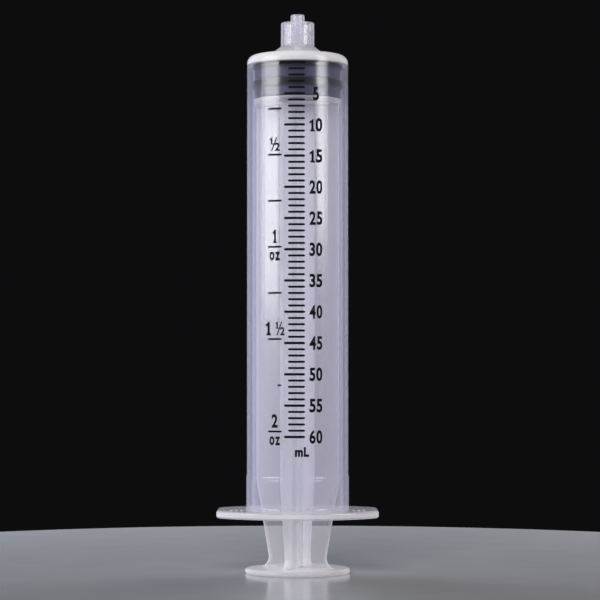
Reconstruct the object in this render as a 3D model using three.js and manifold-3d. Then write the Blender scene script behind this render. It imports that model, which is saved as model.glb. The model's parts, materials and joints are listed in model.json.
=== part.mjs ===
// A 60 mL three-piece syringe with a Luer lock tip, standing tip up on its thumb rest.
// Millimetres, +Z up along the barrel's axis, origin at the centre of the thumb rest's underside.
// The plunger is fully home. The finger flange's wings point along X and the printed side faces -Y.
import * as THREE from "three";
import { mergeVertices } from "three/addons/utils/BufferGeometryUtils.js";
import Module from "manifold-3d";

// ---- Driving dimensions ----

// Bore, capacity and travel
const BORE_RADIUS = 13.3;
const CAPACITY_ML = 60;
const OVERTRAVEL = 5.7; // travel left after the last graduation
const STOP_GAP = 0.3; // from the lower seal rib, fully drawn, to the retaining bead
const END_GAP = 0.5; // between the stopper's crown and the barrel's end, fully home
const SEAL_GAP = 0.05; // between a seal rib and the bore
const RUNNING_GAP = 0.3; // between the rod's head and the stopper that turns on it
const ROD_GAP = 0.25; // between the rod's fins or disc and the retaining bead

// Barrel
const WALL = 1.55;
const END_WALL = 1.6;
const END_SLOPE = 0.1; // rise of the conical end per millimetre of radius
const CORNER_RADIUS = 2.4;
const INNER_CORNER = 0.5; // bevel where the bore meets the conical end
const MOUTH_DEPTH = 11.85; // from the flange's underside to the retaining bead
const MOUTH_BAND = 0.17; // how far the thicker band round the mouth stands out
const MOUTH_RELIEF = 0.15; // how far the bore opens below the bead
const BEAD_HEIGHT = 0.25;
const BEAD_WIDTH = 1.0;
const ROOT_FILLET = 0.8; // between the barrel and its flange

// Finger flange
const FLANGE_HALF_LENGTH = 23.6;
const FLANGE_HALF_DEPTH = 19.5;
const FLANGE_END_HALF_WIDTH = 6.2; // of the straight end of each wing
const FLANGE_CORNER_RADIUS = 5;
const FLANGE_THICKNESS = 2.2;
const FLANGE_EDGE_RADIUS = 0.7;
const GRIP_RIBS = 3; // on the finger side of each wing
const GRIP_START = 0.55; // from the root fillet to the middle of the first rib
const GRIP_PITCH = 1.45;
const GRIP_WIDTH = 0.9;
const GRIP_HEIGHT = 0.3;
const GRIP_HALF_LENGTH = 8;
const GRIP_MARGIN = 0.3; // of flat left round the ribs' ends

// Nose, Luer taper and lock collar
const NOSE_FLARE = 2.9; // how far the nose's foot stands out from the collar
const NOSE_HEIGHT = 2.18;
const COLLAR_WALL = 0.88;
const COLLAR_HEIGHT = 7.0;
const COLLAR_DRAFT = 0.04; // how much wider the collar is at its foot
const THREAD_ROOT_RADIUS = 4.0;
const THREAD_DEPTH = 0.5;
const THREAD_LEAD = 5.0;
const THREAD_STARTS = 2;
const THREAD_TURNS = 0.9;
const THREAD_CREST_WIDTH = 0.35;
const THREAD_ROOT_WIDTH = 0.95;
const THREAD_SINK = 0.2; // how far a ridge is let into the collar's wall
const TIP_RADIUS = 2.0;
const TIP_TAPER = 0.03; // radius gained per millimetre, a 6 % taper on the diameter
const TIP_PROJECTION = 2.35; // beyond the collar
const TIP_BORE_RADIUS = 1.0;
const TIP_CHAMFER = 0.15;
const SOCKET_FLOOR = 0.5; // of plastic between the nose and the collar's socket

// Rubber stopper
const RIB_HEIGHT = 1.0;
const LOWER_RIB_HEIGHT = 1.8;
const SEAL_SPAN = 6.7; // from the lower rib's underside to the upper rib's top edge
const SKIRT_LENGTH = 3.05; // below the lower rib
const GROOVE_DEPTH = 0.7;
const RIB_SLOPE = 0.6; // axial length of a rib's flank
const CROWN_CHAMFER = 0.85;
const CROWN_THICKNESS = 2.9;
const STOPPER_WALL = 2.75; // between the groove and the cavity that holds the rod's head
const LIP_WIDTH = 2.7; // how far the lip at the mouth reaches in under the head
const LIP_HEIGHT = 2.0;

// Plunger rod
const THUMB_RADIUS = 15.4;
const THUMB_THICKNESS = 1.6;
const THUMB_EDGE_RADIUS = 0.7;
const THUMB_REACH = 14.95; // from the thumb rest to the flange, fully home
const FIN_EDGE = 1.4; // a fin's thickness at its outer edge
const FIN_ROOT = 2.0;
const ROOT_RADIUS = 1.2;
const WAIST_RADIUS = 8.85;
const WAIST_HEIGHT = 3.2; // above the thumb rest, and the flare's radius
const TAPER_LENGTH = 22.6; // from the waist up to the fins' full width
const DISC_THICKNESS = 1.7;
const HEAD_CHAMFER = 1.5;
const ROD_TURN_DEG = -20.5; // the rod turns freely, and rests at this angle

// Facets
const TURN_SEGMENTS = 48;
const ARC_STEPS = 4;
const THREAD_STEPS_PER_TURN = 20;

// ---- Heights that follow, above the thumb rest's underside ----

const SCALE_LENGTH = (CAPACITY_ML * 1000) / (Math.PI * BORE_RADIUS ** 2);
const TRAVEL = SCALE_LENGTH + OVERTRAVEL;
const FLANGE_Z = THUMB_THICKNESS + THUMB_REACH;
const BEAD_Z = FLANGE_Z + MOUTH_DEPTH;
const LOWER_RIB_Z = BEAD_Z + STOP_GAP + TRAVEL;
const STOPPER_Z = LOWER_RIB_Z - SKIRT_LENGTH;

// ---- Stopper sizes that follow; heights are above its own bottom face ----

const SEAL_RADIUS = BORE_RADIUS - SEAL_GAP;
const GROOVE_RADIUS = SEAL_RADIUS - GROOVE_DEPTH;
const CAVITY_RADIUS = GROOVE_RADIUS - STOPPER_WALL;
const LIP_RADIUS = CAVITY_RADIUS - LIP_WIDTH;
const UPPER_RIB_TOP = SKIRT_LENGTH + SEAL_SPAN;
const CROWN_RADIUS = SEAL_RADIUS - CROWN_CHAMFER;
const CROWN_EDGE = UPPER_RIB_TOP + CROWN_CHAMFER;
const CROWN_TOP = CROWN_EDGE + CROWN_RADIUS * END_SLOPE;
const CAVITY_TOP = CROWN_EDGE - CROWN_THICKNESS;

// ---- Barrel sizes that follow; heights are above its flange's underside ----

const BARREL_RADIUS = BORE_RADIUS + WALL;
const BAND_RADIUS = BARREL_RADIUS + MOUTH_BAND;
const BEAD_RADIUS = BORE_RADIUS - BEAD_HEIGHT;
const COLLAR_RADIUS = THREAD_ROOT_RADIUS + COLLAR_WALL;
const NOSE_BASE_RADIUS = COLLAR_RADIUS + COLLAR_DRAFT + NOSE_FLARE;
const APEX_INSIDE = STOPPER_Z - FLANGE_Z + CROWN_TOP + END_GAP; // where the inner cone meets the axis
const insideEnd = (r) => APEX_INSIDE - r * END_SLOPE;
const outsideEnd = (r) => insideEnd(r) + END_WALL;
const COLLAR_FOOT = outsideEnd(NOSE_BASE_RADIUS) + NOSE_HEIGHT;
const COLLAR_TOP = COLLAR_FOOT + COLLAR_HEIGHT;
const SOCKET_Z = COLLAR_FOOT + SOCKET_FLOOR;
const TIP_TOP = COLLAR_TOP + TIP_PROJECTION;

// ---- Tools ----

const wasm = await Module();
wasm.setup();

function solidOf(geometry) {
  const bare = geometry.index ? geometry.toNonIndexed() : geometry.clone();
  bare.deleteAttribute("normal");
  bare.deleteAttribute("uv");
  const merged = mergeVertices(bare, 1e-4);
  return new wasm.Manifold(
    new wasm.Mesh({
      numProp: 3,
      vertProperties: merged.attributes.position.array,
      triVerts: new Uint32Array(merged.index.array),
    }),
  );
}

function geometryOf(solid) {
  const mesh = solid.getMesh();
  const geometry = new THREE.BufferGeometry();
  geometry.setAttribute(
    "position",
    new THREE.BufferAttribute(mesh.vertProperties, 3),
  );
  geometry.setIndex(new THREE.BufferAttribute(mesh.triVerts, 1));
  geometry.computeVertexNormals();
  return geometry;
}

// A solid of revolution about Z. The outline is [radius, height] pairs that go up the outside.
function turned(outline, segments = TURN_SEGMENTS) {
  const points = outline.map(([r, z]) => new THREE.Vector2(r, z));
  return solidOf(
    new THREE.LatheGeometry(points, segments).rotateX(Math.PI / 2),
  );
}

// Points on an arc about [r, z], from one angle to another, in degrees from the outward direction.
function arc(r, z, radius, from, to) {
  return Array.from({ length: ARC_STEPS + 1 }, (_, i) => {
    const a = THREE.MathUtils.degToRad(from + ((to - from) * i) / ARC_STEPS);
    return [r + radius * Math.cos(a), z + radius * Math.sin(a)];
  });
}

function disc(radius, low, high) {
  return turned([
    [0, low],
    [radius, low],
    [radius, high],
    [0, high],
  ]);
}

// A rounding is never more than its wall allows.
function rounding(radius, thickness) {
  return Math.min(radius, 0.45 * thickness);
}

// ---- Barrel ----

// The flange's outline, or one inside it: arcs at front and back, straight ends, rounded corners.
function flangeOutline(inset = 0) {
  const corner = FLANGE_CORNER_RADIUS;
  const x = FLANGE_HALF_LENGTH - corner;
  const y = FLANGE_END_HALF_WIDTH;
  const rise = FLANGE_HALF_DEPTH - corner;
  const back = (x ** 2 / (rise - y) - rise - y) / 2; // the long arcs' centres, behind the axis
  const lean = Math.atan2(y + back, x);
  const short = corner - inset;
  const long = FLANGE_HALF_DEPTH + back - inset;
  const shape = new THREE.Shape();
  shape.absarc(x, y, short, 0, lean);
  shape.absarc(0, -back, long, lean, Math.PI - lean);
  shape.absarc(-x, y, short, Math.PI - lean, Math.PI);
  shape.absarc(-x, -y, short, Math.PI, Math.PI + lean);
  shape.absarc(0, back, long, Math.PI + lean, 2 * Math.PI - lean);
  shape.absarc(x, -y, short, -lean, 0);
  shape.closePath();
  return shape;
}

function flangePlate() {
  const edge = rounding(FLANGE_EDGE_RADIUS, FLANGE_THICKNESS);
  const plate = new THREE.ExtrudeGeometry(flangeOutline(), {
    depth: FLANGE_THICKNESS - 2 * edge,
    curveSegments: 10,
    bevelThickness: edge,
    bevelSize: edge,
    bevelOffset: -edge,
    bevelSegments: 3,
  });
  plate.translate(0, 0, edge);
  return solidOf(plate);
}

// One low rib across a wing, sunk into the flange by its own height.
function gripRib(x) {
  const foot = GRIP_WIDTH / 2;
  const crest = foot / 3;
  const section = new THREE.Shape([
    new THREE.Vector2(-foot, -GRIP_HEIGHT),
    new THREE.Vector2(foot, -GRIP_HEIGHT),
    new THREE.Vector2(foot, 0),
    new THREE.Vector2(crest, GRIP_HEIGHT),
    new THREE.Vector2(-crest, GRIP_HEIGHT),
    new THREE.Vector2(-foot, 0),
  ]);
  const rib = new THREE.ExtrudeGeometry(section, {
    depth: 2 * GRIP_HALF_LENGTH,
    bevelEnabled: false,
  });
  rib.rotateX(Math.PI / 2).translate(x, GRIP_HALF_LENGTH, FLANGE_THICKNESS);
  return solidOf(rib);
}

// The ribs of both wings, on the side that the fingers pull against, kept on the flat.
function gripRibs() {
  const flat = new THREE.ExtrudeGeometry(
    flangeOutline(FLANGE_EDGE_RADIUS + GRIP_MARGIN),
    { depth: 2 * FLANGE_THICKNESS, curveSegments: 10, bevelEnabled: false },
  );
  const first = BAND_RADIUS + ROOT_FILLET + GRIP_START;
  const places = Array.from({ length: GRIP_RIBS }, (_, i) => first + i * GRIP_PITCH);
  return places
    .flatMap((x) => [gripRib(x), gripRib(-x)])
    .reduce((all, rib) => all.add(rib))
    .intersect(solidOf(flat));
}

// Wall, conical end, nose, lock collar and taper, as one closed outline round the fluid path.
function barrelOutline() {
  const slope = THREE.MathUtils.radToDeg(Math.atan(END_SLOPE));
  const corner = BARREL_RADIUS - CORNER_RADIUS;
  const cornerZ = outsideEnd(corner) - CORNER_RADIUS;
  const innerCorner = BORE_RADIUS - INNER_CORNER;
  const tipRadius = (z) => TIP_RADIUS + (TIP_TOP - z) * TIP_TAPER;
  const rim = COLLAR_TOP - TIP_CHAMFER;
  return [
    [BAND_RADIUS, 0],
    [BAND_RADIUS, MOUTH_DEPTH],
    [BARREL_RADIUS, MOUTH_DEPTH + MOUTH_BAND],
    ...arc(corner, cornerZ, CORNER_RADIUS, 0, 90 - slope),
    [NOSE_BASE_RADIUS, outsideEnd(NOSE_BASE_RADIUS)],
    [COLLAR_RADIUS + COLLAR_DRAFT, COLLAR_FOOT],
    [COLLAR_RADIUS, rim],
    [COLLAR_RADIUS - TIP_CHAMFER, COLLAR_TOP],
    [THREAD_ROOT_RADIUS + TIP_CHAMFER, COLLAR_TOP],
    [THREAD_ROOT_RADIUS, rim],
    [THREAD_ROOT_RADIUS, SOCKET_Z],
    [tipRadius(SOCKET_Z), SOCKET_Z],
    [tipRadius(TIP_TOP - TIP_CHAMFER), TIP_TOP - TIP_CHAMFER],
    [TIP_RADIUS - TIP_CHAMFER, TIP_TOP],
    [TIP_BORE_RADIUS, TIP_TOP],
    [TIP_BORE_RADIUS, insideEnd(TIP_BORE_RADIUS) + TIP_BORE_RADIUS],
    [2 * TIP_BORE_RADIUS, insideEnd(2 * TIP_BORE_RADIUS)],
    [innerCorner, insideEnd(innerCorner)],
    [BORE_RADIUS, insideEnd(BORE_RADIUS) - INNER_CORNER],
    [BORE_RADIUS, MOUTH_DEPTH],
    [BEAD_RADIUS, MOUTH_DEPTH - BEAD_WIDTH / 2],
    [BORE_RADIUS + MOUTH_RELIEF, MOUTH_DEPTH - BEAD_WIDTH - MOUTH_RELIEF],
    [BORE_RADIUS + MOUTH_RELIEF, FLANGE_EDGE_RADIUS],
    [BORE_RADIUS + MOUTH_RELIEF + FLANGE_EDGE_RADIUS / 2, 0],
    [BAND_RADIUS, 0],
  ];
}

// The concave fillet where the barrel stands on its flange.
function rootFillet() {
  const inside = BORE_RADIUS + WALL / 2;
  const curve = arc(
    BAND_RADIUS + ROOT_FILLET,
    FLANGE_THICKNESS + ROOT_FILLET,
    ROOT_FILLET,
    270,
    180,
  );
  return turned([
    [inside, FLANGE_THICKNESS / 2],
    [BAND_RADIUS + ROOT_FILLET, FLANGE_THICKNESS / 2],
    ...curve,
    [inside, FLANGE_THICKNESS + ROOT_FILLET],
    [inside, FLANGE_THICKNESS / 2],
  ]);
}

// One start of the right-hand thread inside the collar: a straight ridge bent down round a helix.
function threadRidge(start) {
  const height = THREAD_TURNS * THREAD_LEAD;
  const top = (SOCKET_Z + COLLAR_TOP + height) / 2;
  const foot = THREAD_ROOT_RADIUS + THREAD_SINK;
  const crest = THREAD_ROOT_RADIUS - THREAD_DEPTH;
  const section = new THREE.Shape([
    new THREE.Vector2(foot, -THREAD_ROOT_WIDTH / 2),
    new THREE.Vector2(foot, THREAD_ROOT_WIDTH / 2),
    new THREE.Vector2(crest, THREAD_CREST_WIDTH / 2),
    new THREE.Vector2(crest, -THREAD_CREST_WIDTH / 2),
  ]);
  const ridge = new THREE.ExtrudeGeometry(section, {
    depth: 1,
    steps: Math.round(THREAD_TURNS * THREAD_STEPS_PER_TURN),
    bevelEnabled: false,
  });
  const place = ridge.getAttribute("position");
  for (let i = 0; i < place.count; i++) {
    const along = place.getZ(i);
    const turn = -2 * Math.PI * (along * THREAD_TURNS + start / THREAD_STARTS);
    const r = place.getX(i);
    const z = top + place.getY(i) - along * height;
    place.setXYZ(i, r * Math.cos(turn), r * Math.sin(turn), z);
  }
  return solidOf(ridge);
}

function barrelSolid() {
  const hole = disc(BORE_RADIUS + WALL / 2, -1, 2 * FLANGE_THICKNESS + 1);
  const flange = flangePlate().add(gripRibs()).subtract(hole);
  let solid = flange.add(turned(barrelOutline())).add(rootFillet());
  for (let i = 0; i < THREAD_STARTS; i++) solid = solid.add(threadRidge(i));
  return solid;
}

// ---- Stopper ----

function stopperSolid() {
  const lowerTop = SKIRT_LENGTH + LOWER_RIB_HEIGHT;
  const upperFoot = UPPER_RIB_TOP - RIB_HEIGHT;
  return turned([
    [0, CAVITY_TOP],
    [CAVITY_RADIUS - HEAD_CHAMFER, CAVITY_TOP],
    [CAVITY_RADIUS, CAVITY_TOP - HEAD_CHAMFER],
    [CAVITY_RADIUS, LIP_HEIGHT],
    [LIP_RADIUS, LIP_HEIGHT],
    [LIP_RADIUS, 0],
    [GROOVE_RADIUS, 0],
    [GROOVE_RADIUS, SKIRT_LENGTH - RIB_SLOPE],
    [SEAL_RADIUS, SKIRT_LENGTH],
    [SEAL_RADIUS, lowerTop],
    [GROOVE_RADIUS, lowerTop + RIB_SLOPE],
    [GROOVE_RADIUS, upperFoot - RIB_SLOPE],
    [SEAL_RADIUS, upperFoot],
    [SEAL_RADIUS, UPPER_RIB_TOP],
    [CROWN_RADIUS, CROWN_EDGE],
    [0, CROWN_TOP],
  ]);
}

// ---- Plunger rod, from the thumb rest's underside ----

const SEAT_Z = STOPPER_Z - RUNNING_GAP; // top of the disc under the stopper
const FIN_RADIUS = BEAD_RADIUS - ROD_GAP;
const FLARE_RADIUS = WAIST_RADIUS + WAIST_HEIGHT;
const WAIST_Z = THUMB_THICKNESS + WAIST_HEIGHT;

// Four fins with a little draft, and fillets where they meet.
function crossSection() {
  const edge = FIN_EDGE / 2;
  const root = FIN_ROOT / 2;
  const fillet = root + ROOT_RADIUS;
  const reach = Math.max(FIN_RADIUS, FLARE_RADIUS) + 1;
  const shape = new THREE.Shape();
  for (let quarter = 0; quarter < 4; quarter++) {
    const turn = (quarter * Math.PI) / 2;
    const at = (x, y) =>
      new THREE.Vector2(x, y).rotateAround(new THREE.Vector2(), turn);
    const inner = at(fillet, root);
    const middle = at(root, root);
    const outer = at(root, fillet);
    const corner = at(reach, -edge);
    if (quarter === 0) shape.moveTo(corner.x, corner.y);
    else shape.lineTo(corner.x, corner.y);
    const next = at(reach, edge);
    shape.lineTo(next.x, next.y);
    shape.lineTo(inner.x, inner.y);
    shape.quadraticCurveTo(middle.x, middle.y, outer.x, outer.y);
  }
  shape.closePath();
  return shape;
}

// The turned shape that the fins' outer edges lie on: flare, waist, taper and full width.
function finEnvelope() {
  return turned([
    [0, THUMB_THICKNESS / 2],
    [FLARE_RADIUS, THUMB_THICKNESS / 2],
    ...arc(FLARE_RADIUS, WAIST_Z, WAIST_HEIGHT, 270, 180),
    [FIN_RADIUS, WAIST_Z + TAPER_LENGTH],
    [FIN_RADIUS, SEAT_Z - DISC_THICKNESS / 2],
    [0, SEAT_Z - DISC_THICKNESS / 2],
  ]);
}

function thumbRest() {
  const edge = rounding(THUMB_EDGE_RADIUS, THUMB_THICKNESS);
  const flat = THUMB_RADIUS - edge;
  return turned([
    [0, 0],
    ...arc(flat, edge, edge, -90, 0),
    ...arc(flat, THUMB_THICKNESS - edge, edge, 0, 90),
    [0, THUMB_THICKNESS],
  ]);
}

// The disc that carries the stopper, and the neck and head that it snaps over.
function stopperSeat() {
  const neck = LIP_RADIUS - RUNNING_GAP;
  const head = CAVITY_RADIUS - RUNNING_GAP;
  const neckTop = STOPPER_Z + LIP_HEIGHT + RUNNING_GAP;
  const headTop = STOPPER_Z + CAVITY_TOP - RUNNING_GAP;
  return turned([
    [0, SEAT_Z - DISC_THICKNESS],
    [FIN_RADIUS, SEAT_Z - DISC_THICKNESS],
    [FIN_RADIUS, SEAT_Z],
    [neck, SEAT_Z],
    [neck, neckTop],
    [head, neckTop],
    [head, headTop - HEAD_CHAMFER],
    [head - HEAD_CHAMFER, headTop],
    [0, headTop],
  ]);
}

function rodSolid() {
  const fins = new THREE.ExtrudeGeometry(crossSection(), {
    depth: SEAT_Z,
    curveSegments: 4,
    bevelEnabled: false,
  });
  return solidOf(fins)
    .intersect(finEnvelope())
    .add(thumbRest())
    .add(stopperSeat());
}

// ---- Assembly ----

const clearPlastic = new THREE.MeshStandardMaterial({
  color: 0xd9dae6,
  roughness: 0.2,
  metalness: 0,
  transparent: true,
  opacity: 0.45,
});
const milkyPlastic = new THREE.MeshStandardMaterial({
  color: 0xdddde0,
  roughness: 0.35,
  metalness: 0,
});
const rubber = new THREE.MeshStandardMaterial({
  color: 0x2b2d36,
  roughness: 0.6,
  metalness: 0,
});

const barrel = new THREE.Mesh(geometryOf(barrelSolid()), clearPlastic);
barrel.name = "barrel";
barrel.position.z = FLANGE_Z;

const stopper = new THREE.Mesh(geometryOf(stopperSolid()), rubber);
stopper.name = "rubber_stopper";
stopper.position.z = STOPPER_Z;

const rod = new THREE.Mesh(geometryOf(rodSolid()), milkyPlastic);
rod.name = "plunger_rod";
rod.rotation.z = THREE.MathUtils.degToRad(ROD_TURN_DEG);

const plunger = new THREE.Group();
plunger.add(rod, stopper);

const syringe = new THREE.Group();
syringe.add(barrel, plunger);

export default syringe;
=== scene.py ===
"""A 60 mL syringe with a Luer lock tip, standing tip up on its thumb rest, plunger fully home.

The three mouldings (barrel, rubber stopper, plunger rod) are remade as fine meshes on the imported
model's sizes, and the printed scale is added as thin ink on the barrel. Lengths are millimetres
until a mesh is made.
"""

import json
import math

import bmesh
import bpy
import numpy as np
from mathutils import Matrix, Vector


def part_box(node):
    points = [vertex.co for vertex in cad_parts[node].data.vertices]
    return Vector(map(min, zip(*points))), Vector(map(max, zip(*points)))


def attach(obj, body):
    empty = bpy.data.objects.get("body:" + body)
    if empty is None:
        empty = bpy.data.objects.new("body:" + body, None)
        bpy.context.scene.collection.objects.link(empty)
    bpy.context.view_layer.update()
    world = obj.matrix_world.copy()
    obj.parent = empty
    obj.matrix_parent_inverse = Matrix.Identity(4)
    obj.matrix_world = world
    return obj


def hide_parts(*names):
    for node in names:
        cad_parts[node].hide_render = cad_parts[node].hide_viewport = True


MM = 0.001  # metres in a millimetre

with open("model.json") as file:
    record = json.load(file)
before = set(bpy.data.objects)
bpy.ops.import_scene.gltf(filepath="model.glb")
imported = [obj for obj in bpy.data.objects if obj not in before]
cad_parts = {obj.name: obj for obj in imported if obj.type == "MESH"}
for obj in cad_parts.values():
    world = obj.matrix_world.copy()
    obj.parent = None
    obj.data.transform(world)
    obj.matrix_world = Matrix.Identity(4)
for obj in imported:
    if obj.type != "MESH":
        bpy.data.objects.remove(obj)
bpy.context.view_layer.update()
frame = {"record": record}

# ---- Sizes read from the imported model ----


def node_box(node):
    """Lowest and highest corner of a CAD node, in millimetres."""
    low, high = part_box(node)
    return Vector(low) / MM, Vector(high) / MM


MOUNT_Z = {m["name"]: m["pos_m"][2] / MM for m in frame["record"]["mounts"]}
BARREL_LOW, BARREL_HIGH = node_box("barrel")
STOPPER_LOW, STOPPER_HIGH = node_box("rubber_stopper")
ROD_HIGH = node_box("plunger_rod")[1]

FLANGE_Z = BARREL_LOW.z
FLANGE_TOP = MOUNT_Z["flange_finger_side"]
FLANGE_HALF_LENGTH = BARREL_HIGH.x
FLANGE_HALF_DEPTH = BARREL_HIGH.y
COLLAR_TOP = MOUNT_Z["collar_rim"]
TIP_TOP = BARREL_HIGH.z
SEAL_RADIUS = STOPPER_HIGH.x
STOPPER_Z = STOPPER_LOW.z
CROWN_TOP = STOPPER_HIGH.z
THUMB_RADIUS = ROD_HIGH.x
HEAD_TOP = ROD_HIGH.z

# ---- Sizes of the mouldings, in millimetres ----

CAPACITY_ML = 60
SEAL_GAP = 0.05
END_GAP = 0.5
RUNNING_GAP = 0.3
BORE_RADIUS = SEAL_RADIUS + SEAL_GAP

WALL = 1.55
BARREL_RADIUS = BORE_RADIUS + WALL
END_WALL = 1.6
END_SLOPE = 0.1
CORNER_RADIUS = 2.4
BAND_RADIUS = BARREL_RADIUS + 0.17  # of the thicker band round the mouth
BAND_STEP = 0.35  # height in which the band runs out
BEAD_RADIUS = BORE_RADIUS - 0.25  # of the bead that keeps the stopper in
BEAD_TOP = FLANGE_Z + 11.85
BEAD_CREST = BEAD_TOP - 0.5
BEAD_FOOT = BEAD_TOP - 1.15
MOUTH_RADIUS = BORE_RADIUS + 0.15
MOUTH_FACE = 1.2  # width of the flat face round the mouth
ROOT_FILLET = 0.8  # where the band meets the flange

FLANGE_END_HALF_WIDTH = 6.2  # of the straight part at a wing's end
FLANGE_CORNER_RADIUS = 5.0
FLANGE_EDGE_RADIUS = 0.7
GRIP_FIRST = BAND_RADIUS + ROOT_FILLET + 0.55  # from the axis to a wing's first rib
GRIP_PITCH = 1.45
GRIP_RIBS = 3
GRIP_HALF_WIDTH = 0.45
GRIP_HEIGHT = 0.3
GRIP_HALF_LENGTH = 8.0
GRIP_SINK = 0.03  # how far a rib's middle line lies below the flange's top
GRIP_TIP = 0.02  # half width of a rib's very end

COLLAR_RADIUS = 4.88
COLLAR_HEIGHT = 7.0
COLLAR_FOOT = COLLAR_TOP - COLLAR_HEIGHT
COLLAR_DRAFT = 0.04  # how much wider the collar is at its foot
NOSE_RADIUS = COLLAR_RADIUS + COLLAR_DRAFT + 2.9
SOCKET_Z = COLLAR_FOOT + 0.5
THREAD_ROOT = 4.0
THREAD_CREST = 3.5
THREAD_LEAD = 5.0
THREAD_STARTS = 2
THREAD_TURNS = 0.9
THREAD_CREST_HALF = 0.175  # half a ridge's width at its crest
THREAD_BITE = 0.25  # how far a ridge reaches into the collar's wall
THREAD_BITE_HALF = 0.625  # and half its width there
THREAD_FADE = 0.125  # share of a ridge's length in which it rises to full depth
THREAD_START = 0.1  # how far inside the wall it starts, as a share of that depth
TIP_RADIUS = 2.0
TIP_TAPER = 0.03  # a 6 % taper, on the radius
TIP_BORE = 1.0

GROOVE_RADIUS = SEAL_RADIUS - 0.7
CAVITY_RADIUS = GROOVE_RADIUS - 2.75
LIP_RADIUS = CAVITY_RADIUS - 2.7
LIP_HEIGHT = 2.0
LOWER_RIB_Z = STOPPER_Z + 3.05
LOWER_RIB_HEIGHT = 1.8
UPPER_RIB_TOP = LOWER_RIB_Z + 6.7
RIB_HEIGHT = 1.0
RIB_SLOPE = 0.6
CROWN_CHAMFER = 0.85
CROWN_THICKNESS = 2.9
HEAD_CHAMFER = 1.5

THUMB_THICKNESS = 1.6
FIN_RADIUS = BEAD_RADIUS - 0.25
FIN_EDGE = 0.7  # half a fin's thickness at its outer edge
FIN_ROOT = 1.0  # and at its root
FIN_CORNER = 0.38  # rounding of a fin's outer edge
ROOT_RADIUS = 1.2
FIN_FILLET = 0.55  # where fins meet the thumb rest and the disc
WAIST_RADIUS = 8.85
FLARE_RADIUS = 3.2
WAIST_Z = THUMB_THICKNESS + FLARE_RADIUS
TAPER_LENGTH = 22.6
DISC_THICKNESS = 1.7
SEAT_Z = STOPPER_Z - RUNNING_GAP
ROD_TURN = math.radians(-20.5)

# ---- Fineness of the meshes ----

SEGMENTS = 192  # round the barrel and the stopper
ARC_STEPS = 6  # in a rounded corner
CORNER_SAMPLES = 200  # along a quarter of the flange's outline: its corner
SIDE_SAMPLES = 400  # and its long side
RIB_LEVELS = 24  # along a grip rib
RIB_SEGMENTS = 20  # and round it
THREAD_STEPS = 60  # along a thread ridge
ROOT_STEPS = 6  # in the fillet between two fins
EDGE_STEPS = 5  # in a fin's rounded edge
FLANK_POINTS = (4.0, 2.4, 1.2, 0.5, 0.0)  # millimetres back from that edge, on a fin's flank
FLARE_STEPS = 12  # up the rod: in the flare over the thumb rest,
TAPER_STEPS = 8  # in the taper,
SHAFT_STEPS = 12  # in the straight shaft
FILLET_STEPS = 4  # and in the fillet under the disc
SHARED_ROOM = 0.49  # share of a stretch that a rounding may use when another is at its far end,
OWN_ROOM = 0.98  # and when none is
SHARP_ANGLE = math.radians(50)  # faces that meet at more than this keep their edge
AROUND = np.arange(SEGMENTS) * 2 * math.pi / SEGMENTS


# ---- Mesh tools ----


def linked(name, data):
    """A new object in the scene."""
    thing = bpy.data.objects.new(name, data)
    bpy.context.scene.collection.objects.link(thing)
    return thing


def mesh_object(name, points, faces):
    """A new object from points in millimetres, with merged doubles and outward faces."""
    mesh = bpy.data.meshes.new(name)
    mesh.from_pydata([tuple(float(c) * MM for c in p) for p in points], [], faces)
    bm = bmesh.new()
    bm.from_mesh(mesh)
    bmesh.ops.remove_doubles(bm, verts=bm.verts, dist=1e-7)
    bmesh.ops.recalc_face_normals(bm, faces=bm.faces)
    bm.to_mesh(mesh)
    bm.free()
    return linked(name, mesh)


def joined(name, base, extras):
    """base with each of extras added by an exact boolean; the operands are removed."""
    for extra in extras:
        union = base.modifiers.new("union", "BOOLEAN")
        union.operation = "UNION"
        union.solver = "EXACT"
        union.object = extra
    graph = bpy.context.evaluated_depsgraph_get()
    mesh = bpy.data.meshes.new_from_object(base.evaluated_get(graph))
    mesh.name = name
    for used in [base, *extras]:
        bpy.data.objects.remove(used)
    return linked(name, mesh)


def smooth(thing):
    """Smooth shading that keeps flat faces flat beside their roundings."""
    thing.data.shade_smooth()
    thing.data.set_sharp_from_angle(angle=SHARP_ANGLE)
    weighted = thing.modifiers.new("weighted_normals", "WEIGHTED_NORMAL")
    weighted.keep_sharp = True
    return thing


def rounded(outline):
    """The outline with its corners rounded. Each entry is (radius from the axis, height, rounding)."""
    path = []
    for i, (r, z, rounding) in enumerate(outline):
        here = np.array([r, z], float)
        if not rounding or i in (0, len(outline) - 1):
            path.append(here)
            continue
        back = np.array(outline[i - 1][:2], float) - here
        ahead = np.array(outline[i + 1][:2], float) - here
        back_length, ahead_length = np.linalg.norm(back), np.linalg.norm(ahead)
        back, ahead = back / back_length, ahead / ahead_length
        half = math.acos(max(-1.0, min(1.0, float(back @ ahead)))) / 2
        back_room = back_length * (SHARED_ROOM if outline[i - 1][2] else OWN_ROOM)
        ahead_room = ahead_length * (SHARED_ROOM if outline[i + 1][2] else OWN_ROOM)
        run = min(rounding / math.tan(half), back_room, ahead_room)
        radius = run * math.tan(half)
        centre = here + (back + ahead) / np.linalg.norm(back + ahead) * radius / math.sin(half)
        start, end = here + back * run - centre, here + ahead * run - centre
        sweep = math.pi - 2 * half
        for step in range(ARC_STEPS + 1):
            share = step / ARC_STEPS
            blend = start * math.sin((1 - share) * sweep) + end * math.sin(share * sweep)
            path.append(centre + blend / math.sin(sweep))
    return [(float(r), float(z)) for r, z in path]


def on_axis(radii):
    """Whether a ring is only a point on the axis."""
    return np.ndim(radii) == 0 and radii == 0


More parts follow.
